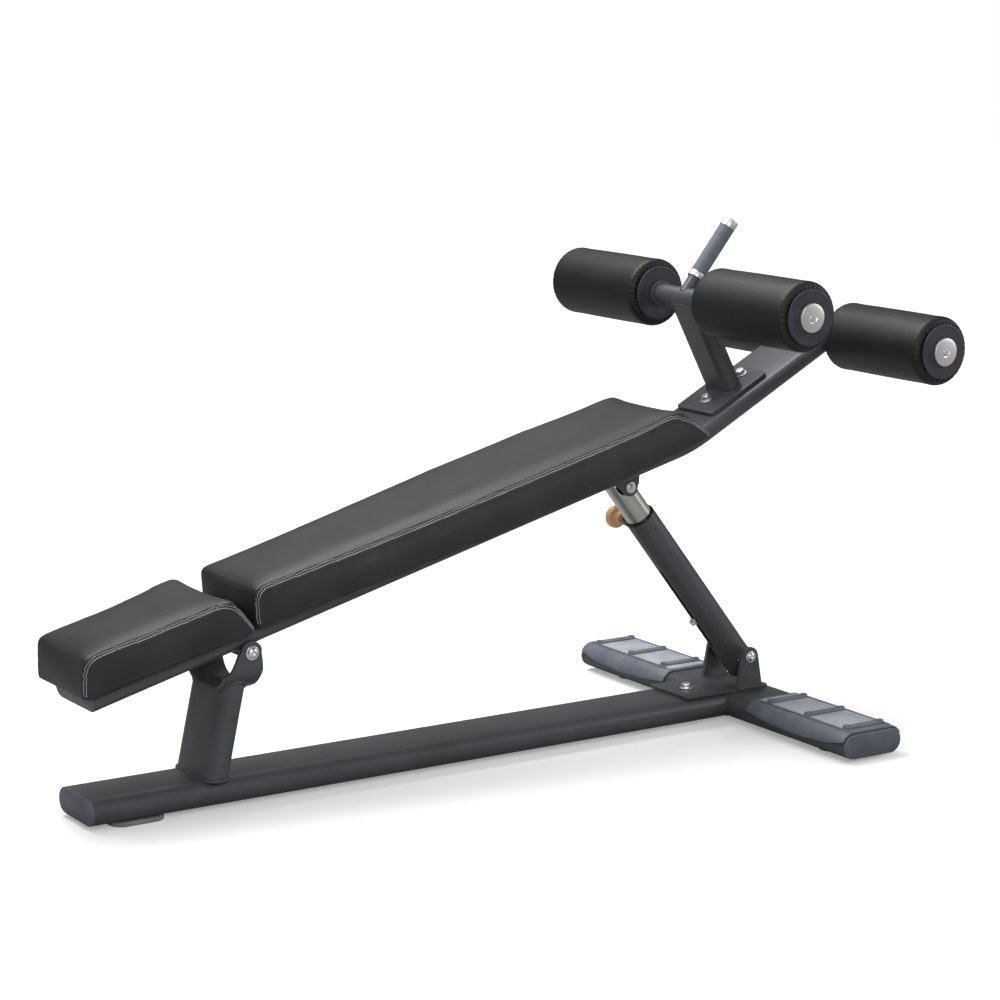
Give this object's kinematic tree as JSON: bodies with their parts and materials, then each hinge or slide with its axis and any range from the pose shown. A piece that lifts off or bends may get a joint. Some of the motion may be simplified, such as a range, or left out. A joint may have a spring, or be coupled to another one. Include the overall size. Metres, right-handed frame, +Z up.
{
  "type": "adjustable decline weight bench",
  "caption": "Decline exercise bench: flat oval steel frame, hinged pad beam propped by a telescoping strut with a pull pin, head and back pads, leg rollers and a grip handle.",
  "frame": {"origin": "on the floor under the middle of the bench's overall box", "axes": "+X from the head end to the leg roller end, +Y across the bench to the pull pin's side, +Z up"},
  "size_m": [1.7461, 0.87, 1.0056],
  "materials": {
    "powder_coat": "satin charcoal powder coat",
    "end_cap": "moulded, satin",
    "foot_plate": "moulded, fine grain",
    "rubber": "matt",
    "zinc": "bright zinc plating",
    "leatherette": "grained leatherette",
    "plywood": "raw plywood",
    "satin_steel": "satin",
    "black_plastic": "semi gloss",
    "knob": "moulded orange",
    "grip": "ribbed foam rubber"
  },
  "bodies": {
    "base": {"base_beam": "powder_coat", "base_beam_cap": "end_cap", "base_clevis": "powder_coat", "clevis_bolt": "zinc", "cross_foot": "powder_coat", "cross_foot_cap_far": "end_cap", "cross_foot_cap_near": "end_cap", "foot_plate_far": "foot_plate", "foot_plate_near": "foot_plate", "front_foot_far": "rubber", "front_foot_near": "rubber", "post_saddle": "powder_coat", "rear_foot": "rubber", "rear_pivot_bolt": "zinc", "rear_post": "powder_coat", "strut_foot_bolt": "zinc"},
    "seat": {"back_pad": "leatherette", "back_pad_board": "plywood", "handle_cap": "satin_steel", "handle_grip": "grip", "handle_ring": "satin_steel", "handle_tube": "powder_coat", "head_pad": "leatherette", "head_pad_board": "plywood", "lower_cross_tube": "powder_coat", "lower_far_roller_cap": "satin_steel", "lower_near_roller_cap": "satin_steel", "pivot_bushing": "powder_coat", "roller_upright": "powder_coat", "seat_beam": "powder_coat", "seat_beam_cap": "end_cap", "strut_ear_far": "powder_coat", "strut_ear_near": "powder_coat", "strut_head_pin": "zinc", "upper_cross_tube": "powder_coat", "upper_far_roller_cap": "satin_steel", "upper_near_roller_cap": "satin_steel", "upright_bolt_front": "zinc", "upright_bolt_rear": "zinc", "upright_plate": "powder_coat"},
    "strut_outer": {"pin_housing": "black_plastic", "strut_bushing": "powder_coat", "strut_liner": "black_plastic", "strut_tube": "powder_coat"},
    "strut_inner": {"guide_bolt": "zinc", "inner_tube": "satin_steel"},
    "pull_pin": {"pull_knob": "knob", "pull_pin": "zinc"},
    "upper_near_roller": {"upper_near_roller_foam": "leatherette", "upper_near_roller_inner_bush": "black_plastic", "upper_near_roller_outer_bush": "black_plastic"},
    "upper_far_roller": {"upper_far_roller_foam": "leatherette", "upper_far_roller_inner_bush": "black_plastic", "upper_far_roller_outer_bush": "black_plastic"},
    "lower_near_roller": {"lower_near_roller_foam": "leatherette", "lower_near_roller_inner_bush": "black_plastic", "lower_near_roller_outer_bush": "black_plastic"},
    "lower_far_roller": {"lower_far_roller_foam": "leatherette", "lower_far_roller_inner_bush": "black_plastic", "lower_far_roller_outer_bush": "black_plastic"}
  },
  "joints": [
    {"name": "seat_tilt", "type": "hinge", "parent": "base", "child": "seat", "pos_m": [-0.54, 0, 0.2865], "axis": [0, -1, 0], "range_deg": [-4, 8]},
    {"name": "strut_swing", "type": "hinge", "parent": "base", "child": "strut_outer", "pos_m": [0.6075, 0, 0.1245], "axis": [0, -1, 0], "range_deg": [-5.2, 2.7]},
    {"name": "strut_slide", "type": "slide", "parent": "strut_outer", "child": "strut_inner", "axis": [-0.6204, 0, 0.7843], "range_m": [-0.058, 0.115]},
    {"name": "pin_pull", "type": "slide", "parent": "strut_outer", "child": "pull_pin", "axis": [0, 1, 0], "range_m": [0, 0.01], "stiffness_N_per_m": 900},
    {"name": "upper_near_spin", "type": "hinge", "parent": "seat", "child": "upper_near_roller", "pos_m": [0.4734, 0, 0.8518], "axis": [0, 1, 0], "continuous": true},
    {"name": "upper_far_spin", "type": "hinge", "parent": "seat", "child": "upper_far_roller", "pos_m": [0.4734, 0, 0.8518], "axis": [0, 1, 0], "continuous": true},
    {"name": "lower_near_spin", "type": "hinge", "parent": "seat", "child": "lower_near_roller", "pos_m": [0.806, 0, 0.7658], "axis": [0, 1, 0], "continuous": true},
    {"name": "lower_far_spin", "type": "hinge", "parent": "seat", "child": "lower_far_roller", "pos_m": [0.806, 0, 0.7658], "axis": [0, 1, 0], "continuous": true}
  ],
  "couplings": [
    {"joint": "strut_swing", "follows": "seat_tilt", "ratio": -0.6283},
    {"joint": "strut_slide", "follows": "seat_tilt", "m_per_rad": 0.80945}
  ]
}
